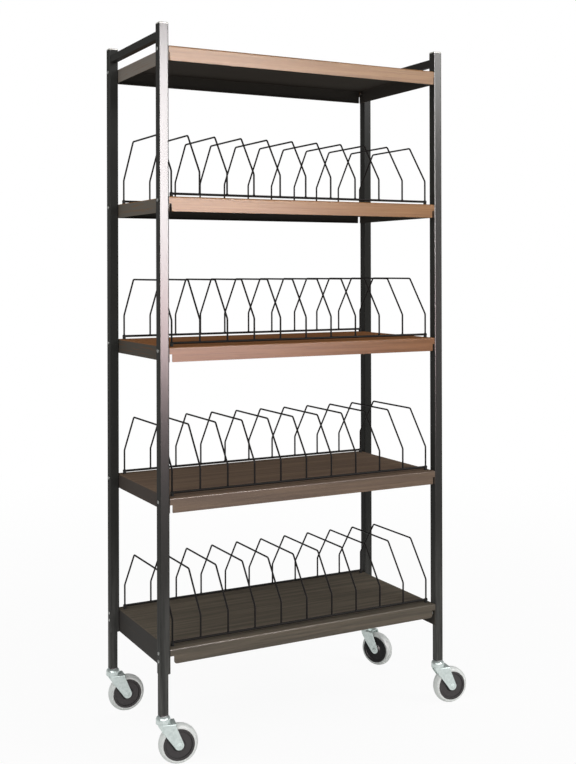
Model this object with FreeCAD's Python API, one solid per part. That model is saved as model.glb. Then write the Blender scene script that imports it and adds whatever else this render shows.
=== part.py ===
import FreeCAD, Part
import os
from math import acos, asin, atan2, cos, pi, sin, sqrt, tan

from FreeCAD import Rotation, Vector

# A tall open rack for patients' charts, on four swivel casters. Four square-tube posts carry a plain
# top shelf and four chart shelves, folded from sheet steel. On each chart shelf a row of bent wires,
# welded to two rails, parts the deck into slots. Two bars above the top shelf are for pushing it.
# Lengths are in millimetres. +X is the rack's right, +Y its back, +Z up. The origin lies on the
# floor, in the middle of the box that holds the whole rack as it stands.

# ---- Driving dimensions: wire dividers -------------------------------------------------------
slot_count = 10            # slots for binders on each chart shelf
slot_pitch = 78.0          # from one divider to the next
divider_depth = 360.0      # between the rails that carry a divider's two legs
divider_top_length = 203.0  # the level run at the top of a divider
elbow_height = 67.0        # deck to the bend where a leg starts to lean in
divider_height = 169.0     # deck to the level run
divider_wire = 4.8         # wire diameter
divider_bend = 10.0        # bend radius on the wire's centre line
rail_wire = 6.4            # rail diameter
rail_lift = 8.5            # deck to the rail's centre line
rail_overhang = 4.0        # rail beyond its last divider
rail_setback = 25.0        # rail's centre line to the shelf's front or back face
foot_diameter = 9.0        # moulded foot under each rail end
foot_pin = 5.0             # the foot's pin, pressed through the deck
foot_barb = 7.0            # mushroom head of the pin, under the deck
foot_barb_height = 2.0
foot_hole_play = 0.1       # round the pin in the deck

# ---- Driving dimensions: shelves -------------------------------------------------------------
chart_shelf_count = 4
shelf_pitch = 381.0        # from one deck to the next
sheet = 1.2                # sheet thickness
flange_height = 38.0       # folded edge at the front and the back
# Height of the folded edges at the two ends, by shelf.
end_flange = {"lowest": 62.0, "middle": 38.0, "top": 38.0}
bend_radius = 4.0          # outside radius of the folds at the deck
lip_width = 12.0           # return fold under the front and back flanges
lip_setback = 8.0          # lip's end to the flange's end
corner_tab = 18.0          # height of front and back flange that reaches the corner
# Width cut away under the tab, and rounding of the flange's lower corner beside it, by shelf.
corner_relief = {"lowest": 11.0, "middle": 7.5, "top": 3.0}
relief_radius = {"lowest": 8.0, "middle": 2.5, "top": 2.5}

# ---- Driving dimensions: posts, caps and push bars -------------------------------------------
post_size = 26.0           # square tube, outside
leg_size = 22.0            # the same tube drawn in below the shelves, flush with its outer faces
post_wall = 1.5
post_corner = 3.0          # outside corner radius
end_margin = 16.0          # last divider to the post's inner face
leg_length = 102.0         # below the lowest shelf's end flanges
bar_gap = 18.0             # top deck to the push bar's underside
bar_size = 20.0            # square tube, outside
bar_wall = 1.5
bar_corner = 2.0
post_above_bar = 16.0      # push bar's top to the tube's end
cap_head = 4.0             # height of the cap above the tube
cap_rounding = 3.0         # pillow edge of the cap
cap_plug = 14.0            # depth of the cap's plug
plug_play = 0.1            # round a plug inside a tube

# ---- Driving dimensions: shelf screws --------------------------------------------------------
screw_diameter = 5.0
screw_head = 10.0          # head diameter
screw_head_height = 2.6
screw_drop = 9.0           # deck to the upper row of screws
lower_screw_drop = 29.0    # deck to the lower row of screws, lowest shelf only
screw_hole_play = 0.15     # round the screw in its holes
nut_flats = 8.0            # across flats
nut_height = 3.0
screw_end = 0.3            # screw beyond its nut
thread_play = 0.05         # round a screw or bolt in its nut

# ---- Driving dimensions: casters -------------------------------------------------------------
wheel_diameter = 101.6
tyre_width = 29.0
tyre_thickness = 10.8      # core to tread
tread_crown = 6.8          # height of the rounded tread over the tyre's straight sides
core_rim = 7.0             # radial width of the core's raised rim
core_rim_width = 30.0
core_web_width = 24.0      # dished face inside the rim
core_boss_diameter = 28.0
core_boss_width = 33.0
wheel_play = 0.5           # core to fork, each side
sleeve_diameter = 12.0     # spacer on the axle
sleeve_bore_play = 0.1     # round the axle in its sleeve
axle_diameter = 8.0
axle_hole_play = 0.1       # round the axle in the fork
running_play = 0.05        # radial play of every running fit
bolt_head = 14.0           # diameter of the axle bolt's low round head
bolt_head_height = 2.4
nut_across = 13.0          # axle nut, across flats
axle_nut_height = 6.5
axle_end = 2.5             # axle beyond its nut
caster_trail = 38.0        # swivel axis to axle
fork_sheet = 2.5
fork_bend = 5.0            # outside radius between crown and legs
leg_tip_radius = 12.0
fork_nose_radius = 17.5    # the walls' round front, about the swivel axis
fork_crease = 15.0         # swivel axis to the fold where the walls turn parallel
leg_rear = -14.0           # walls' free edge at the crown, from the swivel axis
leg_front = 30.0           # walls' other edge at the crown, from the swivel axis
leg_shoulder = 4.0         # below the crown's underside, where the legs' edges start to lean
leg_edge = 0.8             # rounding of the legs' outer edges
crown_clearance = 3.4      # tyre to crown
ball_diameter = 5.0
ball_count = 10
ball_ring_radius = 14.0
race_gap = 2.0             # fork's crown to the swivel cup
cup_diameter = 37.0
cup_skirt = 1.5            # wall of the cup's rim
skirt_gap = 0.3            # rim to crown
cup_edge = 4.0             # height of the cup's cylindrical edge above its race
cup_height = 15.5          # race to the cup's top
cup_top_diameter = 21.0
cup_bulge = 2.6            # of the dome, out from the straight line between its two edges
kingpin_diameter = 10.0
kingpin_head = 18.0
kingpin_head_height = 3.0
kingpin_play = 0.3         # crown to the kingpin's head
stem_diameter = 11.0
stem_length = 42.0         # above the socket's collar
socket_collar = 2.0        # between the swivel head and the post
socket_length = 46.0       # inside the post
# How each fork stands at rest, in degrees from trailing to the rack's right, and the sides of the
# rack on which it stands.
caster_heading = {"left_front": -12.0, "right_front": -9.0, "left_back": -5.0, "right_back": -62.0}
corner_sides = {"left_front": (-1, -1), "right_front": (1, -1), "left_back": (-1, 1), "right_back": (1, 1)}

# ---- Sizes that follow -----------------------------------------------------------------------
inside_width = slot_count * slot_pitch + 2 * end_margin
frame_width = inside_width + 2 * post_size
frame_depth = divider_depth + 2 * rail_setback
post_x = (frame_width - post_size) / 2
post_y = (frame_depth - post_size) / 2
leg_inset = (post_size - leg_size) / 2
leg_x = post_x + leg_inset
leg_y = post_y + leg_inset
wheel_radius = wheel_diameter / 2
core_diameter = wheel_diameter - 2 * tyre_thickness
crown_under = wheel_diameter + crown_clearance
crown_top = crown_under + fork_sheet
race_z = crown_top + race_gap
cup_top = race_z + cup_height
post_bottom = cup_top + socket_collar
leg_top = post_bottom + leg_length
lowest_deck = leg_top + end_flange["lowest"]
decks = [lowest_deck + shelf_pitch * level for level in range(chart_shelf_count + 1)]
bar_bottom = decks[-1] + bar_gap
post_top = bar_bottom + bar_size + post_above_bar
leg_gap = core_boss_width + 2 * wheel_play
fork_width = leg_gap + 2 * fork_sheet
upper_screws = [screw_drop]
lowest_screws = [screw_drop, lower_screw_drop]
overcut = 1.0              # how far a cutting tool runs past the face it cuts
origin = Vector(0, 0, 0)
to_right = Vector(1, 0, 0)
to_back = Vector(0, 1, 0)
upward = Vector(0, 0, 1)


# ---- Shapes ----------------------------------------------------------------------------------
def block(x, y, z):
    """A box between the given (low, high) pairs."""
    return Part.makeBox(x[1] - x[0], y[1] - y[0], z[1] - z[0], Vector(x[0], y[0], z[0]))


def rod(diameter, start, end):
    """A round bar between two points."""
    run = Vector(*end) - Vector(*start)
    return Part.makeCylinder(diameter / 2, run.Length, Vector(*start), run)


def hexagon(flats, length, bore):
    """A bored hexagonal prism along +X, from x = 0."""
    reach = flats / sqrt(3)
    corners = [Vector(0, reach * cos(pi * k / 3), reach * sin(pi * k / 3)) for k in range(7)]
    prism = Part.Face(Part.makePolygon(corners)).extrude(Vector(length, 0, 0))
    return prism.cut(rod(bore, (-overcut, 0, 0), (length + overcut, 0, 0)))


def turned(edges, axis):
    """A solid turned about an axis through the origin, from the edges of its half section."""
    return Part.Face(Part.Wire(edges)).revolve(origin, axis, 360)


def domed(height, radius):
    """The arc of a low round head, from its top at x = -height to its rim at x = 0."""
    ball = (radius * radius + height * height) / (2 * height)
    half_way = asin(radius / ball) / 2
    middle = Vector(ball - height - ball * cos(half_way), ball * sin(half_way), 0)
    return Part.Arc(Vector(-height, 0, 0), middle, Vector(0, radius, 0)).toShape()


def lines(points):
    """Straight edges through the given points, in order."""
    return [Part.makeLine(a, b) for a, b in zip(points, points[1:])]


def rounded_block(x, y, z, radius, direction):
    """A box whose edges along one direction are rounded."""
    body = block(x, y, z)
    edges = [e for e in body.Edges if abs(e.tangentAt(e.FirstParameter).dot(direction)) > 0.5]
    return body.makeFillet(radius, edges)


def square_bar(size, corner, start, end):
    """A square bar on the Z axis between two heights, with rounded edges."""
    half = size / 2
    return rounded_block((-half, half), (-half, half), (start, end), corner, upward)


def square_core(size, start, end):
    """A sharp-edged square bar on the Z axis between two heights."""
    half = size / 2
    return block((-half, half), (-half, half), (start, end))


def bent_wire(points, bend, diameter):
    """A round wire through the given points, with an arc at each corner between them."""
    edges = []
    start = points[0]
    for before, corner, after in zip(points, points[1:], points[2:]):
        into = (corner - before).normalize()
        out = (after - corner).normalize()
        turn = into.getAngle(out)
        setback = bend * tan(turn / 2)
        first = corner - into * setback
        last = corner + out * setback
        middle = corner + (out - into).normalize() * (bend / cos(turn / 2) - bend)
        edges += [Part.makeLine(start, first), Part.Arc(first, middle, last).toShape()]
        start = last
    edges.append(Part.makeLine(start, points[-1]))
    section = Part.Wire(Part.makeCircle(diameter / 2, points[0], points[1] - points[0]))
    return Part.Wire(edges).makePipeShell([section], True, False)


def moved(shape, x=0.0, y=0.0, z=0.0, turn=0.0):
    """A copy turned about Z, in degrees, and then moved."""
    copy = shape.copy()
    place = FreeCAD.Placement(Vector(x, y, z), Rotation(upward, turn))
    copy.Placement = place.multiply(shape.Placement)
    return copy


def at_corners(shape, x, y):
    """Four copies of a shape that stands on the Z axis, one at each corner of a rectangle."""
    return [moved(shape, sx * x, sy * y) for sx, sy in corner_sides.values()]


# ---- Posts, caps and push bars ---------------------------------------------------------------
def screw_places():
    """Height and sides of every shelf screw."""
    rows = [decks[0] - drop for drop in lowest_screws]
    rows += [deck - drop for deck in decks[1:] for drop in upper_screws]
    return [(z, side) for z in rows for side in corner_sides.values()]


def post(side):
    """A post on the Z axis, drawn in to its leg below the shelves, towards the outer corner on the
    given side, and drilled from side to side for the shelf screws."""
    out_x, out_y = side[0] * leg_inset, side[1] * leg_inset
    hollow = post_size - 2 * post_wall
    leg_hollow = leg_size - 2 * post_wall
    leg = moved(square_bar(leg_size, post_corner, post_bottom, leg_top), out_x, out_y)
    outer = square_bar(post_size, post_corner, leg_top, post_top).fuse(leg).removeSplitter()
    bores = [square_core(hollow, leg_top + post_wall, post_top + overcut),
             moved(square_core(leg_hollow, post_bottom - overcut, leg_top + 2 * post_wall), out_x, out_y)]
    drills = [rod(screw_diameter + 2 * screw_hole_play, (-post_size, 0, z), (post_size, 0, z))
              for z in sorted({z for z, side in screw_places()})]
    return outer.cut(bores + drills)


def post_cap():
    """A pillow-shaped cap with a plug that fills the end of the tube."""
    head = square_bar(post_size, post_corner, post_top, post_top + cap_head)
    rim = [e for e in head.Edges if e.BoundBox.ZMin > post_top + cap_head / 2]
    plug = square_core(post_size - 2 * post_wall - 2 * plug_play, post_top - cap_plug, post_top)
    return head.makeFillet(cap_rounding, rim).fuse(plug)


def push_bar():
    """A bar along +Y between a front and a back post, butted against them."""
    span = post_y - post_size / 2
    hollow = square_core(bar_size - 2 * bar_wall, -span - overcut, span + overcut)
    tube = square_bar(bar_size, bar_corner, -span, span).cut(hollow)
    tube.rotate(origin, to_right, 90)
    return moved(tube, z=bar_bottom + bar_size / 2)


# ---- Shelves ---------------------------------------------------------------------------------
def long_flange(deck, relief, radius):
    """The front or back flange below its fold: a tab at each end reaches the corner, and the rest
    stops short of it with rounded lower corners. It is drawn in the XZ plane, one sheet thick."""
    half = inside_width / 2
    inner = half - relief
    flat = inner - radius
    low = deck - flange_height
    tab = deck - corner_tab
    fold = deck - bend_radius
    lean = radius * (1 - sqrt(2) / 2)
    edges = lines([Vector(inner, 0, low + radius), Vector(inner, 0, tab), Vector(half, 0, tab),
                   Vector(half, 0, fold), Vector(-half, 0, fold), Vector(-half, 0, tab),
                   Vector(-inner, 0, tab), Vector(-inner, 0, low + radius)])
    edges.append(Part.Arc(Vector(-inner, 0, low + radius), Vector(-inner + lean, 0, low + lean),
                          Vector(-flat, 0, low)).toShape())
    edges.append(Part.makeLine(Vector(-flat, 0, low), Vector(flat, 0, low)))
    edges.append(Part.Arc(Vector(flat, 0, low), Vector(inner - lean, 0, low + lean),
                          Vector(inner, 0, low + radius)).toShape())
    return Part.Face(Part.Wire(edges)).extrude(Vector(0, sheet, 0))


def folded(x, y, low, deck, radius):
    """A block between two heights, as wide and deep as given, with rounded upper edges."""
    body = block((-x, x), (-y, y), (low, deck))
    return body.makeFillet(radius, [e for e in body.Edges if e.BoundBox.ZMin > deck - radius])


def shelf(deck, place, screw_drops, has_feet):
    """A tray of sheet steel, open below, between the posts."""
    x = inside_width / 2
    y = frame_depth / 2
    low = deck - flange_height
    end_low = deck - end_flange[place]
    pan = folded(x, y, end_low, deck, bend_radius).cut(
        folded(x - sheet, y - sheet, end_low - overcut, deck - sheet, bend_radius - sheet))
    lip_end = x - corner_relief[place] - lip_setback
    for side in (-1, 1):
        face = sorted((side * y, side * (y - sheet)))
        pan = pan.cut(block((-x - overcut, x + overcut), face, (end_low - overcut, deck - bend_radius)))
        flange = long_flange(deck, corner_relief[place], relief_radius[place])
        pan = pan.fuse(moved(flange, y=face[0]))
        pan = pan.fuse(block((-lip_end, lip_end), sorted((side * y, side * (y - lip_width))),
                             (low, low + sheet)))
    holes = [rod(screw_diameter + 2 * screw_hole_play, (side * (x - 2 * sheet), end * post_y, deck - drop),
                 (side * (x + sheet), end * post_y, deck - drop))
             for drop in screw_drops for side in (-1, 1) for end in (-1, 1)]
    if has_feet:
        holes += [rod(foot_pin + 2 * foot_hole_play, (fx, fy, deck - 2 * sheet), (fx, fy, deck + sheet))
                  for fx, fy in foot_places()]
    return pan.removeSplitter().cut(holes)


# ---- Wire dividers ---------------------------------------------------------------------------
def foot_places():
    """Where the feet stand on a deck: under the rails, below the first and the last divider."""
    x = slot_count * slot_pitch / 2
    y = divider_depth / 2
    return [(sx * x, sy * y) for sx in (-1, 1) for sy in (-1, 1)]


def rails(deck):
    """The front and the back rail."""
    x = slot_count * slot_pitch / 2 + rail_overhang
    return [rod(rail_wire, (-x, side * divider_depth / 2, deck + rail_lift),
                (x, side * divider_depth / 2, deck + rail_lift)) for side in (-1, 1)]


def divider(deck):
    """One bent wire in the YZ plane, whose legs are coped onto the rails."""
    foot = divider_depth / 2
    top = divider_top_length / 2
    wire = bent_wire([Vector(0, -foot, deck + rail_lift), Vector(0, -foot, deck + elbow_height),
                      Vector(0, -top, deck + divider_height), Vector(0, top, deck + divider_height),
                      Vector(0, foot, deck + elbow_height), Vector(0, foot, deck + rail_lift)],
                     divider_bend, divider_wire)
    return wire.cut(rails(deck))


def dividers(deck):
    """The row of dividers, one more than the slots between them."""
    wire = divider(deck)
    first = -slot_count * slot_pitch / 2
    return [moved(wire, x=first + slot_pitch * k) for k in range(slot_count + 1)]


def rail_foot(deck):
    """A moulded foot that cradles a rail, with a barbed pin through the deck."""
    under = deck - sheet
    centre = deck + rail_lift
    foot = rod(foot_diameter, (0, 0, deck), (0, 0, centre))
    foot = foot.fuse(rod(foot_pin, (0, 0, under), (0, 0, deck)))
    barb = Part.makeCone(foot_pin / 2 - foot_hole_play, foot_barb / 2, foot_barb_height,
                         Vector(0, 0, under - foot_barb_height))
    foot = foot.fuse(barb)
    return foot.cut(rod(rail_wire, (-foot_diameter, 0, centre), (foot_diameter, 0, centre)))


# ---- Shelf screws ----------------------------------------------------------------------------
grip = post_size + sheet   # post and flange, between a screw's head and its nut


def shelf_screw():
    """A domed screw along +X, with its head's seat at x = 0."""
    seat = screw_head / 2
    shank = screw_diameter / 2
    tip = grip + nut_height + screw_end
    rest = lines([Vector(0, seat, 0), Vector(0, shank, 0), Vector(tip, shank, 0), Vector(tip, 0, 0),
                  Vector(-screw_head_height, 0, 0)])
    return turned([domed(screw_head_height, seat)] + rest, to_right)


def shelf_nut():
    """The nut on the inner face of a shelf's side flange."""
    nut = hexagon(nut_flats, nut_height, screw_diameter + 2 * thread_play)
    return moved(nut, x=grip)


def at_screws(shape):
    """A copy at every shelf screw, pointing inwards from the outer face of its post."""
    copies = []
    for z, (sx, sy) in screw_places():
        copies.append(moved(shape, sx * frame_width / 2, sy * post_y, z, 0 if sx < 0 else 180))
    return copies


# ---- Casters, drawn on the Z axis with the wheel trailing to +X --------------------------------
def socket():
    """A moulded plug inside the leg, bored for the stem, with a collar under the tube."""
    plug = square_core(leg_size - 2 * post_wall - 2 * plug_play, post_bottom, post_bottom + socket_length)
    collar = square_bar(leg_size, post_corner, cup_top, post_bottom)
    bore = rod(stem_diameter, (0, 0, cup_top - overcut), (0, 0, post_bottom + socket_length + overcut))
    return plug.fuse(collar).cut(bore)


def stem():
    """The turned pin: stem in the post's socket, kingpin through the cup and the fork's crown,
    and a riveted head under the crown."""
    top = post_bottom + stem_length
    seat = crown_under - kingpin_play
    chamfer = stem_diameter / 8
    radii = [stem_diameter / 2, kingpin_diameter / 2, kingpin_head / 2]
    return turned(lines([Vector(0, 0, top), Vector(radii[0] - chamfer, 0, top),
                         Vector(radii[0], 0, top - chamfer), Vector(radii[0], 0, cup_top),
                         Vector(radii[1], 0, cup_top), Vector(radii[1], 0, seat),
                         Vector(radii[2], 0, seat),
                         Vector(radii[2] - kingpin_head_height / 2, 0, seat - kingpin_head_height),
                         Vector(0, 0, seat - kingpin_head_height), Vector(0, 0, top)]), upward)


def ball_race():
    """The groove that the balls run in, cut into the crown below them and the cup above them."""
    return Part.makeTorus(ball_ring_radius, ball_diameter / 2 + running_play,
                          Vector(0, 0, crown_top + race_gap / 2))


def cup():
    """The domed swivel cup, whose rim hangs over the balls, held on the kingpin under the post."""
    outer = cup_diameter / 2
    inner = outer - cup_skirt
    top = cup_top_diameter / 2
    edge = race_z + cup_edge
    skirt = crown_top + skirt_gap
    out = Vector(cup_top - edge, 0, outer - top).normalize() * cup_bulge
    bulge = Vector((outer + top) / 2, 0, (edge + cup_top) / 2) + out
    dome = Part.Arc(Vector(outer, 0, edge), bulge, Vector(top, 0, cup_top)).toShape()
    rest = lines([Vector(top, 0, cup_top), Vector(kingpin_diameter / 2, 0, cup_top),
                  Vector(kingpin_diameter / 2, 0, race_z), Vector(inner, 0, race_z),
                  Vector(inner, 0, skirt), Vector(outer, 0, skirt), Vector(outer, 0, edge)])
    return turned([dome] + rest, upward).cut(ball_race())


def balls():
    """The bearing balls between the crown and the cup."""
    ball = Part.makeSphere(ball_diameter / 2)
    step = 2 * pi / ball_count
    return [moved(ball, ball_ring_radius * cos(step * k), ball_ring_radius * sin(step * k),
                  crown_top + race_gap / 2) for k in range(ball_count)]


def tangent_point(start, centre, radius, side):
    """Where a line from a point in the XZ plane touches a circle, on the given side of it."""
    dx = centre[0] - start[0]
    dz = centre[1] - start[1]
    reach = sqrt(dx * dx + dz * dz - radius * radius)
    angle = atan2(dz, dx) + side * atan2(radius, reach)
    return Vector(start[0] + reach * cos(angle), 0, start[1] + reach * sin(angle))


def fork_plan(inset, floor, top, bend):
    """The fork's outline from above, drawn in by an inset and raised from floor to top: a round nose
    about the swivel axis, walls that flare to the creases, and parallel legs. The upper edges are bent."""
    nose = fork_nose_radius - inset
    half = fork_width / 2 - inset
    tip = caster_trail + leg_tip_radius + (overcut if inset else 0)
    flare = atan2(half, fork_crease) + acos(nose / sqrt(fork_crease ** 2 + half ** 2))
    touch = Vector(nose * cos(flare), nose * sin(flare), floor)
    mirrored = Vector(touch.x, -touch.y, floor)
    edges = lines([touch, Vector(fork_crease, half, floor), Vector(tip, half, floor),
                   Vector(tip, -half, floor), Vector(fork_crease, -half, floor), mirrored])
    edges.append(Part.Arc(mirrored, Vector(-nose, 0, floor), touch).toShape())
    body = Part.Face(Part.Wire(edges)).extrude(Vector(0, 0, top - floor))
    bent = [e for e in body.Edges if e.BoundBox.ZMin > top - bend and e.BoundBox.XMin < tip - overcut / 2]
    return body.makeFillet(bend, bent)


def fork():
    """A pressed fork: a sheet folded down from a round crown, which carries the lower ball race, to
    two legs that taper to a round end at the axle."""
    half = fork_width / 2
    floor = wheel_radius - 2 * leg_tip_radius
    outer = fork_plan(0, floor, crown_top, fork_bend)
    inner = fork_plan(fork_sheet, floor - overcut, crown_under, fork_bend - fork_sheet)

    axle = (caster_trail, wheel_radius)
    shoulder = crown_under - leg_shoulder
    rear = Vector(leg_rear, 0, shoulder)
    front = Vector(leg_front, 0, shoulder)
    rear_end = tangent_point((rear.x, rear.z), axle, leg_tip_radius, -1)
    front_end = tangent_point((front.x, front.z), axle, leg_tip_radius, 1)
    lowest = Vector(axle[0], 0, axle[1] - leg_tip_radius)
    above = crown_top + overcut
    nose = fork_nose_radius + overcut
    outline = lines([front_end, front, Vector(leg_front, 0, above), Vector(-nose, 0, above),
                     Vector(-nose, 0, crown_under), Vector(leg_rear, 0, crown_under), rear, rear_end])
    outline.append(Part.Arc(rear_end, lowest, front_end).toShape())
    side_view = Part.Face(Part.Wire(outline)).extrude(Vector(0, fork_width + 2 * overcut, 0))
    side_view.translate(Vector(0, -half - overcut, 0))

    pressed = outer.cut(inner).common(side_view)
    legs = [e for e in pressed.Edges if e.BoundBox.ZMax < shoulder + overcut
            and e.BoundBox.XMin > fork_crease - overcut and abs(abs(e.CenterOfMass.y) - half) < leg_edge / 2
            and e.BoundBox.YLength < leg_edge]
    pressed = pressed.makeFillet(leg_edge, legs)
    pressed = pressed.fuse(rod(cup_diameter, (0, 0, crown_under), (0, 0, crown_top))).removeSplitter()
    kingpin_hole = rod(kingpin_diameter + 2 * running_play, (0, 0, crown_under - overcut), (0, 0, above))
    axle_hole = rod(axle_diameter + 2 * axle_hole_play, (caster_trail, -half - overcut, wheel_radius),
                    (caster_trail, half + overcut, wheel_radius))
    return pressed.cut([kingpin_hole, axle_hole, ball_race()])


def on_axle(shape):
    """Turn a shape drawn along +X to lie along +Y on the axle, starting at the fork's front face."""
    copy = shape.copy()
    copy.rotate(origin, upward, 90)
    copy.translate(Vector(caster_trail, -fork_width / 2, wheel_radius))
    return copy


def axle_bolt():
    """A bolt with a low round head, through both legs."""
    end = fork_width + axle_nut_height + axle_end
    rest = lines([Vector(0, bolt_head / 2, 0), Vector(0, axle_diameter / 2, 0),
                  Vector(end, axle_diameter / 2, 0), Vector(end, 0, 0), Vector(-bolt_head_height, 0, 0)])
    return on_axle(turned([domed(bolt_head_height, bolt_head / 2)] + rest, to_right))


def axle_nut():
    """The nut on the fork's back leg."""
    nut = hexagon(nut_across, axle_nut_height, axle_diameter + 2 * thread_play)
    nut.translate(Vector(fork_width, 0, 0))
    return on_axle(nut)


def axle_sleeve():
    """The spacer that the bolt clamps between the legs, and the wheel turns on."""
    sleeve = rod(sleeve_diameter, (fork_sheet, 0, 0), (fork_sheet + leg_gap, 0, 0))
    bore = rod(axle_diameter + 2 * sleeve_bore_play, (0, 0, 0), (fork_width, 0, 0))
    return on_axle(sleeve.cut(bore))


def wheel_piece(half_section):
    """A turned piece of the wheel, from (radius, half width) points of its half section."""
    right = [Vector(r, w, 0) for r, w in half_section]
    left = [Vector(r, -w, 0) for r, w in reversed(half_section)]
    return turned(lines(right + left + right[:1]), to_back)


def wheel_core():
    """The moulded core: a boss on the sleeve, a dished web and a raised rim."""
    rim = core_diameter / 2
    slope = (core_rim_width - core_web_width) / 2
    boss = core_boss_diameter / 2
    bore = sleeve_diameter / 2 + running_play
    web = core_web_width / 2
    core = wheel_piece([(bore, core_boss_width / 2), (boss, core_boss_width / 2), (boss + slope, web),
                        (rim - core_rim, web), (rim - core_rim + slope / 2, core_rim_width / 2),
                        (rim, core_rim_width / 2)])
    return moved(core, caster_trail, 0, wheel_radius)


def wheel_tyre():
    """The tyre, with straight sides and a rounded tread, moulded onto the core."""
    side = tyre_width / 2
    seat = core_diameter / 2
    shoulder = wheel_radius - tread_crown
    back = Vector(shoulder, side, 0)
    front = Vector(shoulder, -side, 0)
    tread = Part.Arc(back, Vector(wheel_radius, 0, 0), front).toShape()
    rest = lines([front, Vector(seat, -side, 0), Vector(seat, side, 0), back])
    return moved(turned([tread] + rest, to_back), caster_trail, 0, wheel_radius)


# ---- The whole rack --------------------------------------------------------------------------
def group(shapes):
    """Several separate solids that share one node."""
    return Part.makeCompound([solid for shape in shapes for solid in shape.Solids])


nodes = {}
for corner, (sx, sy) in corner_sides.items():
    nodes["post_" + corner] = moved(post((sx, sy)), sx * post_x, sy * post_y)
nodes["post_caps"] = group(at_corners(post_cap(), post_x, post_y))
nodes["push_bar_left"] = moved(push_bar(), x=-post_x)
nodes["push_bar_right"] = moved(push_bar(), x=post_x)

for level, deck in enumerate(decks[:-1], start=1):
    if level == 1:
        nodes["chart_shelf_1"] = shelf(deck, "lowest", lowest_screws, True)
    else:
        nodes[f"chart_shelf_{level}"] = shelf(deck, "middle", upper_screws, True)
    nodes[f"rail_wires_{level}"] = group(rails(deck))
    nodes[f"divider_wires_{level}"] = group(dividers(deck))
nodes["top_shelf"] = shelf(decks[-1], "top", upper_screws, False)
nodes["rail_feet"] = group([moved(rail_foot(deck), x, y) for deck in decks[:-1] for x, y in foot_places()])
nodes["shelf_screws"] = group(at_screws(shelf_screw()))
nodes["shelf_nuts"] = group(at_screws(shelf_nut()))

nodes["stem_sockets"] = group(at_corners(socket(), leg_x, leg_y))
nodes["caster_stems"] = group(at_corners(stem(), leg_x, leg_y))
caster = {"swivel_cup": [cup()], "bearing_balls": balls(), "fork": [fork()], "axle_bolt": [axle_bolt()],
          "axle_nut": [axle_nut()], "axle_sleeve": [axle_sleeve()], "wheel_core": [wheel_core()],
          "wheel_tyre": [wheel_tyre()]}
for corner, (sx, sy) in corner_sides.items():
    for piece, shapes in caster.items():
        placed = [moved(Part.makeCompound([shape]), sx * leg_x, sy * leg_y, 0, caster_heading[corner])
                  for shape in shapes]
        nodes[f"{piece}_{corner}"] = group(placed)

# The forks stand as they were left, so the box that holds the rack isn't centred on its posts. Every
# piece moves by the same amount, to put the origin under the middle of that box.
whole = Part.makeCompound(list(nodes.values())).optimalBoundingBox(False, False)
shift = Vector(-(whole.XMin + whole.XMax) / 2, -(whole.YMin + whole.YMax) / 2, 0)
os.makedirs("parts", exist_ok=True)
for name, shape in nodes.items():
    shape.translate(shift)
    shape.exportStep(f"parts/{name}.step")

print(f"{len(nodes)} nodes, {sum(len(shape.Solids) for shape in nodes.values())} solids")
print(f"size {whole.XLength:.1f} x {whole.YLength:.1f} x {whole.ZLength:.1f}")
print(f"moved by {shift.x:.4f}, {shift.y:.4f}")
for name, shape in nodes.items():
    if not shape.isValid() or min(solid.Volume for solid in shape.Solids) <= 0:
        print("not a sound solid:", name)
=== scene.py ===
import math

import bpy
from mathutils import Matrix, Vector


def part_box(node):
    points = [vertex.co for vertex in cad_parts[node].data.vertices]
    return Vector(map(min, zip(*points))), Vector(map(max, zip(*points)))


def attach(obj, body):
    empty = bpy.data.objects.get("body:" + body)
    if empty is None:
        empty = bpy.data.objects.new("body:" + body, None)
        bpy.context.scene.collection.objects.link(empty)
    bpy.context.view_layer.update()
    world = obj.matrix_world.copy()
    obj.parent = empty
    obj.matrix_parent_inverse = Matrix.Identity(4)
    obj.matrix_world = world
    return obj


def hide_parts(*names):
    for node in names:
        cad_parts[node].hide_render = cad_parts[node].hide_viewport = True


# A rolling rack for patients' charts: four painted posts, five shelves with walnut cladding, rows
# of bent wire dividers, and four swivel casters in bright zinc. Lengths are in metres.
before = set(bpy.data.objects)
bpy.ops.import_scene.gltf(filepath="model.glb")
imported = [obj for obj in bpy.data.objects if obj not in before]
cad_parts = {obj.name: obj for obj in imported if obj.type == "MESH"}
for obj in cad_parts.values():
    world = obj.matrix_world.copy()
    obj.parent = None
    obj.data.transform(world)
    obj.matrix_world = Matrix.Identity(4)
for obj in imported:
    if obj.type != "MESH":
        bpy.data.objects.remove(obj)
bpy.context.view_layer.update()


# ---- Posts and push bars ----------------------------------------------------------------------
# Square steel tubes, welded and dipped in charcoal enamel, which dries to a soft sheen with a faint
# orange-peel. Towards the floor the enamel turns lighter, rougher and less glossy in blotches.
def colour(red, green, blue):
    """A paint-chip colour, 0 to 255 a channel, as the linear values that a shader works with. The
    numbers below are those of the sRGB curve."""
    def linear(level):
        level /= 255
        return level / 12.92 if level <= 0.04045 else ((level + 0.055) / 1.055) ** 2.4
    return (linear(red), linear(green), linear(blue), 1.0)


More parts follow.
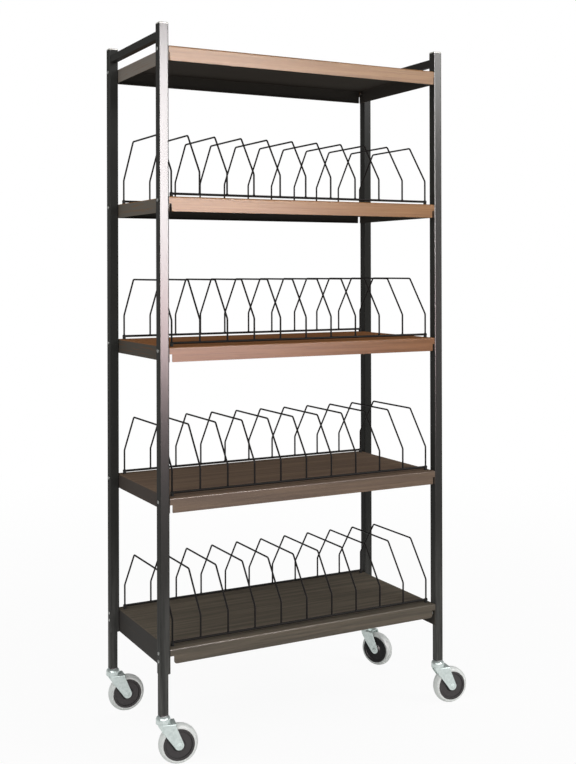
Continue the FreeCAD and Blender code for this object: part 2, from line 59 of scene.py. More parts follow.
class Signal:
    """What comes out of a shader node. Arithmetic on it adds Math nodes."""

    def __init__(self, finish, socket):
        self.finish = finish
        self.socket = socket

    def math(self, operation, *values):
        return self.finish.node("ShaderNodeMath", {"operation": operation}, dict(enumerate(values)))

    def __add__(self, other):
        return self.math("ADD", self, other)

    def __sub__(self, other):
        return self.math("SUBTRACT", self, other)

    def __rsub__(self, other):
        return self.math("SUBTRACT", other, self)

    def __mul__(self, other):
        return self.math("MULTIPLY", self, other)

    __radd__ = __add__
    __rmul__ = __mul__

    def most(self, other):
        """The larger of two signals."""
        return self.math("MAXIMUM", self, other)

    def beyond(self, level):
        """1 where the signal is above a level, else 0."""
        return self.math("GREATER_THAN", self, level)

    def ramp(self, low, high):
        """Rises smoothly from 0 at low to 1 at high."""
        return self.finish.node("ShaderNodeMapRange", {"interpolation_type": "SMOOTHSTEP"},
                                {"Value": self, "From Min": low, "From Max": high})


class Finish:
    """The node tree of one finish of the rack, or of the room round it."""

    harshness = 0.6            # how much the fine blotches of a grain show beside the coarse ones

    def __init__(self, name, owner=None):
        self.material = owner or bpy.data.materials.new(name)
        self.material.use_nodes = True
        self.tree = self.material.node_tree
        self.tree.nodes.clear()

    def node(self, kind, settings=None, inputs=None, output=0):
        """Adds a node, sets it up, feeds its sockets, and gives back one of its outputs."""
        made = self.tree.nodes.new(kind)
        for name, value in (settings or {}).items():
            setattr(made, name, value)
        for name, value in (inputs or {}).items():
            if isinstance(value, Signal):
                self.tree.links.new(value.socket, made.inputs[name])
            else:
                made.inputs[name].default_value = value
        return Signal(self, made.outputs[output]) if made.outputs else None

    def vector(self, operation, *values, output=0):
        """Vector Math on signals or triples."""
        return self.node("ShaderNodeVectorMath", {"operation": operation},
                         dict(enumerate(values)), output)

    def part(self, vector, axis):
        """One coordinate of a vector."""
        return self.node("ShaderNodeSeparateXYZ", inputs={0: vector}, output=axis)

    def place(self, axis=None):
        """Where a point of the piece is, or one of its coordinates."""
        where = self.node("ShaderNodeTexCoord", output="Object")
        return where if axis is None else self.part(where, axis)

    def ray(self, kind):
        """1 for a ray of one kind, such as Camera or Glossy, and 0 for any other."""
        return self.node("ShaderNodeLightPath", output=f"Is {kind} Ray")

    def grain(self, blotches, detail=3.0, where=None, offset=(0.0, 0.0, 0.0)):
        """Noise with so many blotches a metre: one number, or three for X, Y and Z."""
        if isinstance(blotches, float):
            blotches = (blotches, blotches, blotches)
        spread = self.node("ShaderNodeMapping", inputs={
            "Vector": where or self.place(), "Scale": blotches, "Location": offset})
        return self.node("ShaderNodeTexNoise", inputs={
            "Vector": spread, "Scale": 1.0, "Detail": detail, "Roughness": self.harshness})

    def blend(self, share, first, second):
        """A colour between two, by a share from 0 to 1."""
        return self.node("ShaderNodeMix", {"data_type": "RGBA"}, {0: share, 6: first, 7: second}, 2)

    def relief(self, height, depth):
        """A bump as deep as given, in metres."""
        return self.node("ShaderNodeBump", inputs={
            "Height": height, "Distance": depth, "Strength": 1.0})

    def surface(self, **sockets):
        """Ends the finish. A socket's name is written with _ for each space."""
        shader = self.node("ShaderNodeBsdfPrincipled", inputs={
            name.replace("_", " "): value for name, value in sockets.items()})
        self.node("ShaderNodeOutputMaterial", inputs={"Surface": shader})


def dress(finish, *names):
    """Gives a finish to CAD nodes whose shape stays as it is."""
    for name in names:
        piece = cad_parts[name]
        piece.data.materials.clear()
        piece.data.materials.append(finish.material)


posts = ["post_left_front", "post_right_front", "post_left_back", "post_right_back"]
enamel_colour = colour(50, 50, 48)
enamel_low_tone = colour(112, 111, 108)
enamel_streaks = (60.0, 60.0, 4.0)
orange_peel = 700.0
orange_peel_depth = 0.00002
lightest_below = 0.1
lighter_below = 0.6

enamel = Finish("charcoal_enamel")
streaks = enamel.grain(enamel_streaks)
# Blotches of a lighter grey towards the floor, rougher and with less coat.
near_floor = (1 - enamel.place("Z").ramp(lightest_below, lighter_below)) * streaks.ramp(0.3, 0.7)
enamel.surface(
    Base_Color=enamel.blend(near_floor * 0.6, enamel_colour, enamel_low_tone),
    Roughness=0.4 + streaks * 0.1 + near_floor * 0.2,
    Specular_IOR_Level=0.0,
    Coat_Weight=0.22 + streaks * 0.04 - near_floor * 0.1,
    Coat_Roughness=0.24,
    Normal=enamel.relief(enamel.grain(orange_peel), orange_peel_depth))
dress(enamel, "push_bar_left", "push_bar_right", *posts)


# ---- Post caps --------------------------------------------------------------------------------
# Pillow-shaped caps moulded in grey polyethylene and pushed into the post tops. The skin is satin
# with the fine grain of the mould, and dulled where hands rub it.
cap_colour = colour(176, 176, 168)
cap_rubbed_colour = colour(150, 148, 140)
cap_rubs = 90.0
cap_mould_grain = 1500.0
cap_grain_depth = 0.00003

cap_plastic = Finish("cap_plastic")
rubbed = cap_plastic.grain(cap_rubs)
cap_plastic.surface(
    Base_Color=cap_plastic.blend(rubbed.ramp(0.4, 0.7) * 0.3, cap_colour, cap_rubbed_colour),
    Roughness=0.38 + rubbed * 0.1,
    Normal=cap_plastic.relief(cap_plastic.grain(cap_mould_grain), cap_grain_depth))
dress(cap_plastic, "post_caps")


# ---- Shelves ----------------------------------------------------------------------------------
# Sheet steel with a walnut-grain vinyl laminated to its outside before it is folded, and dark
# baked paint inside. The grain runs along the deck, and along each flange.
shelves = ["chart_shelf_1", "chart_shelf_2", "chart_shelf_3", "chart_shelf_4", "top_shelf"]
skin = 0.0006              # halfway through the sheet
fold = 0.004               # outside radius of the folds round the deck
inner_paint = colour(68, 65, 61)
paint_speckle = 400.0
walnut_bands = (2.2, 70.0, 70.0)
walnut_figure = (5.0, 260.0, 260.0)
walnut_pores = (30.0, 1100.0, 1100.0)
walnut_shift = 7           # blotches that the grain moves on by for each metre of height
shelf_relief_depth = 0.00001
# Each shelf's laminate: its usual tone, with painted shade that makes the lower shelves darker and
# greyer, its light and dark streaks, its tone on the short end flanges, which are clad across the
# sheet, with painted shade that makes them darker and greyer, and the strength of its sheen.
shaded_walnut_tones = [
    (colour(90, 84, 75), colour(108, 99, 87), colour(70, 64, 57), colour(64, 62, 60), 0.11),
    (colour(105, 89, 77), colour(122, 103, 86), colour(80, 68, 58), colour(71, 65, 61), 0.11),
    (colour(130, 88, 57), colour(146, 102, 69), colour(107, 70, 43), colour(76, 72, 66), 0.11),
    (colour(144, 103, 66), colour(160, 117, 78), colour(118, 83, 52), colour(96, 91, 84), 0.08),
    (colour(138, 101, 66), colour(154, 115, 78), colour(112, 81, 52), colour(120, 114, 107), 0.11)]


def shelf_finish(name, walnut, walnut_light, walnut_dark, shaded_end_tone, sheen):
    """The laminate and paint of one shelf. The laminate is where a point lies within a skin of the
    outer faces and folds, so the paint is on every face inside. The sheen is on the flanges: charts
    that slide over the deck have dulled it."""
    low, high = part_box(name)
    laminate = Finish("walnut_laminate_" + name)
    where = laminate.place()
    middle = ((low.x + high.x) / 2, (low.y + high.y) / 2, 0.0)
    flat = (high.x - middle[0] - fold, high.y - middle[1] - fold, high.z - fold)
    out = laminate.vector("ABSOLUTE", laminate.vector("SUBTRACT", where, middle))
    out = laminate.vector("MAXIMUM", laminate.vector("SUBTRACT", out, flat), (0.0, 0.0, 0.0))
    outside = laminate.vector("LENGTH", out, output="Value").beyond(fold - skin)
    on_end = laminate.part(out, "X").ramp(fold * 0.6, fold)
    on_deck = laminate.part(out, "Z").ramp(fold * 0.3, fold * 0.9)

    turned = laminate.node("ShaderNodeVectorRotate", {"rotation_type": "Z_AXIS"},
                           {"Vector": where, "Angle": math.pi / 2})
    flow = laminate.node("ShaderNodeMix", {"data_type": "VECTOR"},
                         {0: on_end, 4: where, 5: turned}, 1)
    shift = (0.0, 0.0, low.z * walnut_shift)
    bands = laminate.grain(walnut_bands, 5.0, flow, shift)
    figure = laminate.grain(walnut_figure, 4.0, flow, shift)
    pores = laminate.grain(walnut_pores, 2.0, flow, shift)
    veneer = laminate.blend(bands.ramp(0.35, 0.68), walnut, walnut_light)
    # The short end flanges take a darker, greyer tone: painted shade.
    veneer = laminate.blend(on_end, veneer, shaded_end_tone)
    veneer = laminate.blend(figure.ramp(0.5, 0.72) * 0.5, veneer, walnut_dark)
    veneer = laminate.blend(pores.ramp(0.58, 0.7) * 0.4, veneer, walnut_dark)
    relief = pores * outside + laminate.grain(paint_speckle) * (1 - outside)
    laminate.surface(
        Base_Color=laminate.blend(outside, inner_paint, veneer),
        Roughness=0.9 - outside * 0.4 + figure * 0.08,
        Specular_IOR_Level=0.0,
        Coat_Weight=outside * (1 - on_deck) * (sheen + figure * 0.04),
        Coat_Roughness=0.3,
        Normal=laminate.relief(relief, shelf_relief_depth))
    return laminate


# Each shelf takes its own tones, darker and greyer on the lower shelves: painted shade.
for shelf, shelf_tones in zip(shelves, shaded_walnut_tones):
    dress(shelf_finish(shelf, *shelf_tones), shelf)


# ---- Rails and their feet ---------------------------------------------------------------------
# A front and a back rail of drawn wire on each chart shelf, black-dipped with the dividers, and
# held off the deck by black rubber feet whose barbs snap through it.
levels = range(1, 5)       # of the chart shelves, from the lowest up
dip_colour = colour(38, 35, 34)
dip_bare = colour(120, 112, 106)
dip_wear = 150.0
dip_ripple = 900.0
dip_ripple_depth = 0.00002
foot_colour = colour(26, 25, 25)
foot_bloom_colour = colour(44, 43, 42)
foot_bloom = 300.0
foot_bloom_depth = 0.00005

dip = Finish("black_dip")
drawn = dip.grain(dip_wear)
dip.surface(
    Base_Color=dip.blend(drawn.ramp(0.66, 0.8) * 0.35, dip_colour, dip_bare),
    Roughness=0.25 + drawn * 0.12,
    Specular_IOR_Level=0.12,
    Normal=dip.relief(dip.grain(dip_ripple), dip_ripple_depth))
dress(dip, *[f"rail_wires_{level}" for level in levels])

foot_rubber = Finish("foot_rubber")
bloom = foot_rubber.grain(foot_bloom)
foot_rubber.surface(
    Base_Color=foot_rubber.blend(bloom.ramp(0.4, 0.8), foot_colour, foot_bloom_colour),
    Roughness=0.55 + bloom * 0.2,
    Normal=foot_rubber.relief(bloom, foot_bloom_depth))
dress(foot_rubber, "rail_feet")


# ---- Wire dividers ----------------------------------------------------------------------------
# Eleven wires a shelf, each bent in one plane to two upright legs, two leaning runs and a level
# top, and projection-welded to both rails. The weld squeezes a small bead round each leg.
slots = 10
slot_pitch = 0.078
wire_diameter = 0.0048
wire_bend = 0.010
wire_sides = 14
wire_bend_points = 8
rail_radius = 0.0032
rail_lift = 0.0085         # from the deck to a rail's centre line
divider_height = 0.169     # from the deck to the level top
divider_top = 0.203        # length of the level top
elbow_height = 0.067       # from the deck to the bends where the legs start to lean
bead_radius = wire_diameter * 0.72     # it swells past the wire on every side
bead_flatness = 0.5
bead_least = 0.9           # the beads' widths vary between this share and the next
bead_most = 1.12
bead_segments = 14
bead_rings = 7
bead_seed = 7


class Tree:
    """A Geometry Nodes tree whose sizes are named inputs."""

    def __init__(self, name, **sizes):
        self.group = bpy.data.node_groups.new(name, "GeometryNodeTree")
        sockets = self.group.interface
        sockets.new_socket("Geometry", in_out="INPUT", socket_type="NodeSocketGeometry")
        sockets.new_socket("Geometry", in_out="OUTPUT", socket_type="NodeSocketGeometry")
        kinds = {int: "NodeSocketInt", float: "NodeSocketFloat"}
        self.sizes = sizes
        self.identifiers = {}
        for label, size in sizes.items():
            socket = sockets.new_socket(label, in_out="INPUT", socket_type=kinds[type(size)])
            self.identifiers[label] = socket.identifier
        self.given = self.group.nodes.new("NodeGroupInput").outputs
        self.result = self.group.nodes.new("NodeGroupOutput").inputs[0]

    def node(self, kind, settings=None, inputs=None, output=0):
        """Adds a node, sets it up and feeds its sockets."""
        made = self.group.nodes.new(kind)
        for name, value in (settings or {}).items():
            setattr(made, name, value)
        for name, value in (inputs or {}).items():
            if isinstance(value, bpy.types.NodeSocket):
                self.group.links.new(value, made.inputs[name])
            else:
                made.inputs[name].default_value = value
        return made.outputs[output]

    def math(self, operation, *values):
        return self.node("ShaderNodeMath", {"operation": operation}, dict(enumerate(values)))

    def triple(self, x=0.0, y=0.0, z=0.0):
        """A vector from three numbers or sockets."""
        return self.node("ShaderNodeCombineXYZ", inputs={"X": x, "Y": y, "Z": z})

    def moved(self, geometry, move):
        """A shape carried to another place."""
        return self.node("GeometryNodeTransform", inputs={
            "Geometry": geometry, "Translation": move})

    def end(self, geometry, finish):
        """Ends the tree: real faces, smooth, in one finish."""
        realized = self.node("GeometryNodeRealizeInstances", inputs={0: geometry})
        smooth = self.node("GeometryNodeSetShadeSmooth", inputs={
            "Geometry": realized, "Shade Smooth": True})
        painted = self.node("GeometryNodeSetMaterial", inputs={
            "Geometry": smooth, "Material": finish.material})
        self.group.links.new(painted, self.result)

    def grow(self, name, points, edges, **directions):
        """A plain mesh object, from the ended tree and a sketch of points and edges. Directions
        are attributes of the points, a vector for each."""
        sketch = bpy.data.meshes.new(name + "_sketch")
        sketch.from_pydata(points, edges, [])
        for label, vectors in directions.items():
            arrows = sketch.attributes.new(label, "FLOAT_VECTOR", "POINT")
            for arrow, vector in zip(arrows.data, vectors):
                arrow.vector = vector
        piece = bpy.data.objects.new(name, sketch)
        bpy.context.scene.collection.objects.link(piece)
        modifier = piece.modifiers.new(name, "NODES")
        modifier.node_group = self.group
        for size, identifier in self.identifiers.items():
            modifier[identifier] = self.sizes[size]
        shape = piece.evaluated_get(bpy.context.evaluated_depsgraph_get())
        mesh = bpy.data.meshes.new_from_object(shape)
        piece.modifiers.remove(modifier)
        piece.data = mesh
        return piece


row = Tree("divider_row", Slots=slots, Slot_pitch=slot_pitch, Wire_diameter=wire_diameter,
           Bend_radius=wire_bend)
line = row.node("GeometryNodeMeshToCurve", inputs={"Mesh": row.given["Geometry"]})
bent = row.node("GeometryNodeFilletCurve", {"mode": "POLY"}, {
    "Curve": line, "Count": wire_bend_points, "Radius": row.given["Bend_radius"]})
ring = row.node("GeometryNodeCurvePrimitiveCircle", inputs={
    "Resolution": wire_sides, "Radius": row.math("MULTIPLY", row.given["Wire_diameter"], 0.5)})
wire = row.node("GeometryNodeCurveToMesh", inputs={
    "Curve": bent, "Profile Curve": ring, "Fill Caps": True})
places = row.node("GeometryNodeMeshLine", inputs={
    "Count": row.math("ADD", row.given["Slots"], 1),
    "Offset": row.triple(x=row.given["Slot_pitch"])})
row.end(row.node("GeometryNodeInstanceOnPoints", inputs={
    "Points": places, "Instance": wire}), dip)

weld = Tree("weld_beads", Bead_radius=bead_radius, Bead_flatness=bead_flatness)
bead = weld.node("GeometryNodeMeshUVSphere", inputs={
    "Segments": bead_segments, "Rings": bead_rings, "Radius": weld.given["Bead_radius"]})
lumpy = weld.node("FunctionNodeRandomValue", {"data_type": "FLOAT"}, {
    2: bead_least, 3: bead_most, "Seed": bead_seed}, 1)
weld.end(weld.node("GeometryNodeInstanceOnPoints", inputs={
    "Points": weld.given["Geometry"], "Instance": bead,
    "Scale": weld.triple(lumpy, 1.0, weld.given["Bead_flatness"])}), dip)

for level in levels:
    low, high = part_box(f"divider_wires_{level}")
    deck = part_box(f"chart_shelf_{level}")[1].z
    middle = (low.y + high.y) / 2
    foot = (high.y - low.y - wire_diameter) / 2
    first = low.x + wire_diameter / 2
    outline = [(-foot, rail_lift), (-foot, elbow_height), (-divider_top / 2, divider_height),
               (divider_top / 2, divider_height), (foot, elbow_height), (foot, rail_lift)]
    sketch = [(first, middle + y, deck + z) for y, z in outline]
    edges = [(k, k + 1) for k in range(len(sketch) - 1)]
    dividers = row.grow(f"dividers_{level}", sketch, edges)
    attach(dividers, "rack")
    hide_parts(f"divider_wires_{level}")
    joints = [(first + slot_pitch * k, middle + side * foot, deck + rail_lift + rail_radius)
              for k in range(slots + 1) for side in (-1, 1)]
    beads = weld.grow(f"weld_beads_{level}", joints, [])
    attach(beads, "rack")


# ---- Shelf screws and nuts --------------------------------------------------------------------
# Zinc-plated machine screws with a domed head and a cross recess, through the post and the
# shelf's side flange, and a hexagon nut on each inside.
screw_diameter = 0.005
screw_sides = 20
screw_length = 0.0305      # under the head: post, flange, nut and the end beyond it
screw_head = 0.010
screw_head_height = 0.0026
screw_head_segments = 28
screw_head_rings = 16
recess_width = 0.0012
recess_length = 0.0062
recess_depth = 0.0016
screw_drop = 0.009         # from the deck to a screw
lower_screw_drop = 0.029   # to the second screw of each corner of the lowest shelf
most_turn = 6.28           # a driven screw stops at any angle
turn_seed = 3
plating_dark = colour(178, 180, 178)
plating_light = colour(205, 206, 202)
plating_cloud = 500.0
plating_cloud_depth = 0.00002

plating = Finish("screw_plating")
cloud = plating.grain(plating_cloud)
plating.surface(
    Base_Color=plating.blend(cloud, plating_dark, plating_light),
    Metallic=0.9 + cloud * 0.1,
    Roughness=0.28 + cloud * 0.15,
    Normal=plating.relief(cloud, plating_cloud_depth))
dress(plating, "shelf_nuts")

screw = Tree("shelf_screw", Head_diameter=screw_head, Head_height=screw_head_height,
             Shank_diameter=screw_diameter, Shank_length=screw_length, Recess_width=recess_width,
             Recess_length=recess_length, Recess_depth=recess_depth)
head_radius = screw.math("MULTIPLY", screw.given["Head_diameter"], 0.5)
dome = screw.node("GeometryNodeMeshUVSphere", inputs={
    "Segments": screw_head_segments, "Rings": screw_head_rings, "Radius": head_radius})
flatness = screw.math("DIVIDE", screw.given["Head_height"], head_radius)
dome = screw.node("GeometryNodeTransform", inputs={
    "Geometry": dome, "Scale": screw.triple(1.0, 1.0, flatness)})

# A block takes away the dome's lower half, and two bars cut the cross into its top.
block_size = screw.math("MULTIPLY", screw.given["Head_diameter"], 2.0)
block = screw.node("GeometryNodeMeshCube", inputs={
    "Size": screw.triple(block_size, block_size, block_size)})
cutters = [screw.moved(block, screw.triple(z=screw.math("MULTIPLY", block_size, -0.5)))]
bar_depth = screw.math("MULTIPLY", screw.given["Recess_depth"], 2.0)
for along_x, along_y in (("Recess_length", "Recess_width"), ("Recess_width", "Recess_length")):
    bar = screw.node("GeometryNodeMeshCube", inputs={
        "Size": screw.triple(screw.given[along_x], screw.given[along_y], bar_depth)})
    cutters.append(screw.moved(bar, screw.triple(z=screw.given["Head_height"])))
head = screw.node("GeometryNodeMeshBoolean", {"operation": "DIFFERENCE", "solver": "EXACT"},
                  {"Mesh 1": dome})
for cutter in cutters:
    screw.group.links.new(cutter, head.node.inputs["Mesh 2"])
shank = screw.node("GeometryNodeMeshCylinder", inputs={
    "Vertices": screw_sides, "Depth": screw.given["Shank_length"],
    "Radius": screw.math("MULTIPLY", screw.given["Shank_diameter"], 0.5)})
shank_middle = screw.triple(z=screw.math("MULTIPLY", screw.given["Shank_length"], -0.5))
whole = screw.node("GeometryNodeJoinGeometry", inputs={"Geometry": head})
screw.group.links.new(screw.moved(shank, shank_middle), whole.node.inputs[0])

# Each point of the sketch is a head's seat, and carries the direction in which the head faces.
outward = screw.node("GeometryNodeInputNamedAttribute", {"data_type": "FLOAT_VECTOR"},
                     {"Name": "outward"})
facing = screw.node("FunctionNodeAlignRotationToVector", {"axis": "Z"}, {"Vector": outward})
turn = screw.node("FunctionNodeRandomValue", {"data_type": "FLOAT"}, {
    2: 0.0, 3: most_turn, "Seed": turn_seed}, 1)
turned = screw.node("FunctionNodeRotateRotation", {"rotation_space": "LOCAL"}, {
    "Rotation": facing,
    "Rotate By": screw.node("FunctionNodeEulerToRotation", inputs={0: screw.triple(z=turn)})})
screw.end(screw.node("GeometryNodeInstanceOnPoints", inputs={
    "Points": screw.given["Geometry"], "Instance": whole, "Rotation": turned}), plating)

seats = []
for level, shelf in enumerate(shelves):
    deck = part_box(shelf)[1].z
    for drop in ([screw_drop, lower_screw_drop] if level == 0 else [screw_drop]):
        for post in posts:
            low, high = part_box(post)
            side = low.x if "left" in post else high.x
            seats.append((side, (low.y + high.y) / 2, deck - drop))
facings = [(-1.0 if x < 0 else 1.0, 0.0, 0.0) for x, y, z in seats]
screws = screw.grow("shelf_screw_set", seats, [], outward=facings)
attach(screws, "rack")
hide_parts("shelf_screws")


# ---- Stem sockets -----------------------------------------------------------------------------
# Black nylon plugs driven into the post feet. Their collars show as a thin dark band between each
# post and its caster.
socket_dark = colour(24, 24, 25)
socket_light = colour(36, 36, 37)
socket_grain = 400.0
socket_grain_depth = 0.00004

socket_plastic = Finish("socket_plastic")
moulded = socket_plastic.grain(socket_grain)
socket_plastic.surface(
    Base_Color=socket_plastic.blend(moulded, socket_dark, socket_light),
    Roughness=0.42 + moulded * 0.15,
    Normal=socket_plastic.relief(moulded, socket_grain_depth))
dress(socket_plastic, "stem_sockets")


# ---- Swivel cups, forks and stems -------------------------------------------------------------
# Steel pressed and turned, then barrel-plated in bright zinc: a faint cool tint, cloudy where the
# parts rubbed in the barrel, with fine lines from the press on the forks.
corners = ["left_front", "right_front", "left_back", "right_back"]
zinc_light = colour(240, 250, 247)
zinc_dull = colour(216, 228, 225)
zinc_mottle = 120.0
zinc_lines = (1200.0, 1200.0, 90.0)
zinc_line_depth = 0.00001

zinc = Finish("bright_zinc")
mottle = zinc.grain(zinc_mottle, 4.0)
drawn_lines = zinc.grain(zinc_lines)
zinc.surface(
    Base_Color=zinc.blend(mottle.ramp(0.3, 0.75), zinc_light, zinc_dull),
    Metallic=0.5 + mottle * 0.1,
    Roughness=0.16 + mottle * 0.12 + drawn_lines * 0.05,
    Normal=zinc.relief(drawn_lines, zinc_line_depth))
dress(zinc, "caster_stems")
for corner in corners:
    dress(zinc, "swivel_cup_" + corner, "fork_" + corner)


# ---- Axles and ball races ---------------------------------------------------------------------
# Plated bolts and nuts with a plain spacer sleeve, and hardened balls, greased. The low heads of
# the bolts are dulled by the tool that set them.
bolt_tool_marks = 700.0
bolt_tool_mark_depth = 0.00002
ball_colour = colour(190, 192, 195)
grease_colour = colour(140, 128, 100)
grease_smears = 600.0

bolt_zinc = Finish("dull_zinc")
tool_marks = bolt_zinc.grain(bolt_tool_marks)
bolt_zinc.surface(
    Base_Color=bolt_zinc.blend(tool_marks, zinc_light, zinc_dull),
    Metallic=0.25 + tool_marks * 0.1,
    Roughness=0.5 + tool_marks * 0.15,
    Normal=bolt_zinc.relief(tool_marks, bolt_tool_mark_depth))

ball_steel = Finish("ball_steel")
grease = ball_steel.grain(grease_smears)
greasy = grease.ramp(0.5, 0.7)
ball_steel.surface(
    Base_Color=ball_steel.blend(greasy, ball_colour, grease_colour),
    Metallic=1.0 - greasy * 0.4,
    Roughness=0.1 + grease * 0.2)
for corner in corners:
    dress(ball_steel, "bearing_balls_" + corner)
    dress(bolt_zinc, "axle_bolt_" + corner)
    dress(plating, "axle_nut_" + corner, "axle_sleeve_" + corner)


# ---- Wheels -----------------------------------------------------------------------------------
# A black nylon core with a moulded grain, and a pale grey thermoplastic tyre moulded onto it. The
# tread picks up dirt.
core_dark = colour(32, 33, 33)
core_light = colour(44, 45, 45)
core_sinks = 40.0
core_grain = 500.0
core_grain_depth = 0.00005
tyre_colour = colour(222, 226, 223)
tyre_dirt = colour(186, 188, 184)
tyre_scuffs = 180.0
tyre_scuff_depth = 0.0001

core_plastic = Finish("core_plastic")
mould_grain = core_plastic.grain(core_grain)
core_plastic.surface(
    Base_Color=core_plastic.blend(core_plastic.grain(core_sinks), core_dark, core_light),
    Roughness=0.45 + mould_grain * 0.15,
    Specular_IOR_Level=0.15,
    Normal=core_plastic.relief(mould_grain, core_grain_depth))

tyre_rubber = Finish("grey_tyre")
scuff = tyre_rubber.grain(tyre_scuffs, 4.0)
tyre_rubber.surface(
    Base_Color=tyre_rubber.blend(scuff.ramp(0.5, 0.8) * 0.5, tyre_colour, tyre_dirt),
    Roughness=0.5 + scuff * 0.2,
    Specular_IOR_Level=0.3,
    Normal=tyre_rubber.relief(scuff, tyre_scuff_depth))
for corner in corners:
    dress(core_plastic, "wheel_core_" + corner)
    dress(tyre_rubber, "wheel_tyre_" + corner)


# ---- Camera -----------------------------------------------------------------------------------
# In front and to the rack's left, about as high as a standing person's chest. It is level but for a
# slight roll, and its picture is shifted down to the rack, so that the posts stay upright.
rack_low, rack_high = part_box("post_caps")
rack_middle = Vector(((rack_low.x + rack_high.x) / 2, (rack_low.y + rack_high.y) / 2, 0))
camera_offset = Vector((-1.4574, -2.8554, 1.2439))     # from the floor under that middle
camera_turn = math.radians(28.307)
camera_roll = math.radians(-0.147)
camera_lens = 52.947       # millimetres, as is the picture's height
picture_height = 36.0
picture_shift = (-0.0165, -0.1450)
farthest_seen = 100.0

camera = bpy.data.objects.new("camera", bpy.data.cameras.new("camera"))
camera.data.sensor_fit = "VERTICAL"
camera.data.sensor_height = picture_height
camera.data.lens = camera_lens
camera.data.shift_x, camera.data.shift_y = picture_shift
camera.data.clip_end = farthest_seen
camera.matrix_world = (
    Matrix.Translation(rack_middle + camera_offset) @ Matrix.Rotation(-camera_turn, 4, "Z")
    @ Matrix.Rotation(math.pi / 2, 4, "X") @ Matrix.Rotation(camera_roll, 4, "Z"))
bpy.context.scene.collection.objects.link(camera)
bpy.context.scene.camera = camera


# ---- Room -------------------------------------------------------------------------------------
# A pale floor that runs out into a white background, and a soft lamp on each side. Three soft
# boxes in front show only as the sheen that they lay on the faces of the front pieces.
white = (1.0, 1.0, 1.0, 1.0)
floor_reach = 30.0
floor_dark = colour(238, 238, 237)
floor_light = colour(243, 243, 242)
floor_blotches = 3.0
floor_whiteness = 0.93     # by the rack
floor_whiteness_gain = 0.07
floor_white_at = (1.0, 4.0)            # metres from the rack's middle, as in the next fade
room_light = 0.6
mirrored_room = 0.35       # what is mirrored is what gloss and metal show
mirrored_ceiling = 0.03
mirrored_window = 2.4
mirrored_floor = 0.7       # by the rack, and as dark as the room further out
mirrored_floor_fades = (0.5, 1.6)
wall_fades = (0.05, 0.3)               # heights: 0 is level with the eye, and 1 overhead
window_sill = (0.1, 0.2)
window_head = (0.55, 0.7)
window_sides = (0.55, 0.8)             # 1 is straight ahead of the rack, and 0 beside it
lamp_target = (0, 0, 0.9)

floor_mesh = bpy.data.meshes.new("floor")
floor_mesh.from_pydata(
    [(-floor_reach, -floor_reach, 0), (floor_reach, -floor_reach, 0),
     (floor_reach, floor_reach, 0), (-floor_reach, floor_reach, 0)], [], [(0, 1, 2, 3)])
floor = bpy.data.objects.new("floor", floor_mesh)
bpy.context.scene.collection.objects.link(floor)

pale_floor = Finish("pale_floor")
chalk = pale_floor.node("ShaderNodeBsdfDiffuse", inputs={
    "Color": pale_floor.blend(pale_floor.grain(floor_blotches), floor_dark, floor_light)})
glossy_rays = pale_floor.ray("Glossy")
seen = pale_floor.ray("Camera").most(glossy_rays.most(pale_floor.ray("Transmission")))
far = pale_floor.vector("LENGTH", pale_floor.place(), output="Value")
mirrored = mirrored_floor - (mirrored_floor - mirrored_room) * far.ramp(*mirrored_floor_fades)
glow = pale_floor.node("ShaderNodeEmission", inputs={
    "Color": white, "Strength": 1.0 + glossy_rays * (mirrored - 1.0)})
whiteness = floor_whiteness + floor_whiteness_gain * far.ramp(*floor_white_at)
pale_floor.node("ShaderNodeOutputMaterial", inputs={
    "Surface": pale_floor.node("ShaderNodeMixShader", inputs={
        0: seen * whiteness, 1: chalk, 2: glow})})
floor.data.materials.append(pale_floor.material)

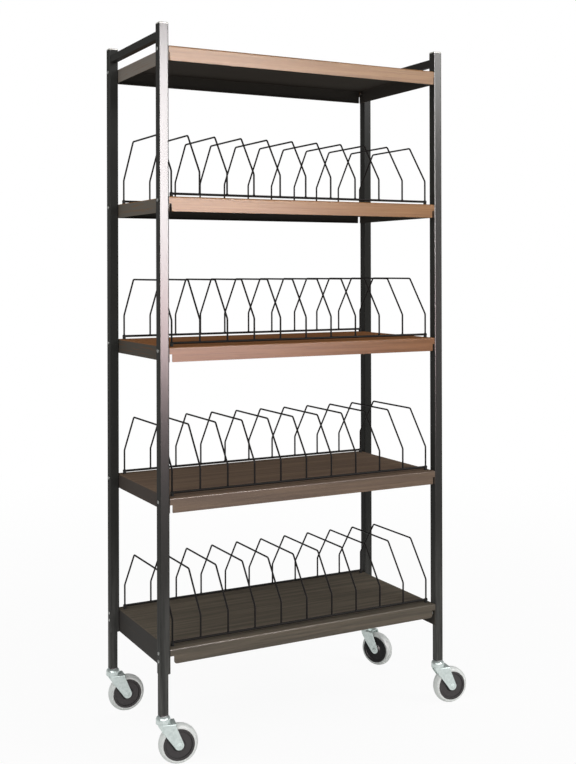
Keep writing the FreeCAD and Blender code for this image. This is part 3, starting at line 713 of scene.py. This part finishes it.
world = bpy.data.worlds.new("white_room")
bpy.context.scene.world = world
backdrop = Finish("white_room", world)
glossy_rays = backdrop.ray("Glossy")
seen = backdrop.ray("Camera").most(backdrop.ray("Transmission"))
direction = backdrop.node("ShaderNodeTexCoord", output="Generated")
rise = backdrop.part(direction, "Z")
ahead = 0 - backdrop.part(direction, "Y")
window = ahead.ramp(*window_sides) * rise.ramp(*window_sill) * (1 - rise.ramp(*window_head))
walls = mirrored_room - (mirrored_room - mirrored_ceiling) * rise.ramp(*wall_fades)
mirrored = walls + window * mirrored_window
backdrop.node("ShaderNodeOutputWorld", inputs={
    "Surface": backdrop.node("ShaderNodeBackground", inputs={
        "Color": white,
        "Strength": (room_light + seen * (1.0 - room_light)
                     + glossy_rays * (mirrored - room_light))})})


def lamp(name, place, target, width, height, watts, tint=(1.0, 1.0, 1.0)):
    """A soft rectangular lamp that faces a target, and isn't seen itself."""
    light = bpy.data.lights.new(name, "AREA")
    light.shape = "RECTANGLE"
    light.size = width
    light.size_y = height
    light.energy = watts
    light.color = tint
    holder = bpy.data.objects.new(name, light)
    turn = (Vector(target) - Vector(place)).to_track_quat("-Z", "Y").to_matrix().to_4x4()
    holder.matrix_world = Matrix.Translation(place) @ turn
    holder.visible_camera = False
    bpy.context.scene.collection.objects.link(holder)
    return holder


lamp("key", (2.6, -3.0, 3.0), lamp_target, width=1.6, height=1.6, watts=50.0)
lamp("fill", (-3.0, -2.0, 2.2), lamp_target, width=1.8, height=1.8, watts=30.0)

# The soft boxes pass by the back posts and the small or bright pieces, on which they would flare.
unlit = ("post_left_back", "post_right_back", "push_bar_", "shelf_nuts", "rail_", "axle_",
         "fork_", "swivel_cup_")
front_parts = bpy.data.collections.new("lit_by_softbox")
for name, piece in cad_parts.items():
    if not name.startswith(unlit):
        front_parts.objects.link(piece)
# Each soft box: its place, its target, its width and height, its power and its tint.
softboxes = {
    "softbox": ((0.2, -3.2, 1.89), (0.2, 0.0, 1.89), 2.6, 1.38, 1150.0, (1.0, 0.95, 0.96)),
    "warm_softbox": ((0.3, -3.2, 0.98), (0.3, 0.0, 0.98), 2.6, 0.5, 300.0, (1.0, 0.74, 0.76)),
    "high_softbox": ((2.6, -3.2, 3.0), (0.8, 0.0, 1.9), 1.6, 1.6, 170.0, (1.0, 0.97, 0.94))}
for name, settings in softboxes.items():
    softbox = lamp(name, *settings)
    softbox.visible_diffuse = False
    softbox.light_linking.receiver_collection = front_parts

bpy.context.scene.view_settings.view_transform = "Standard"
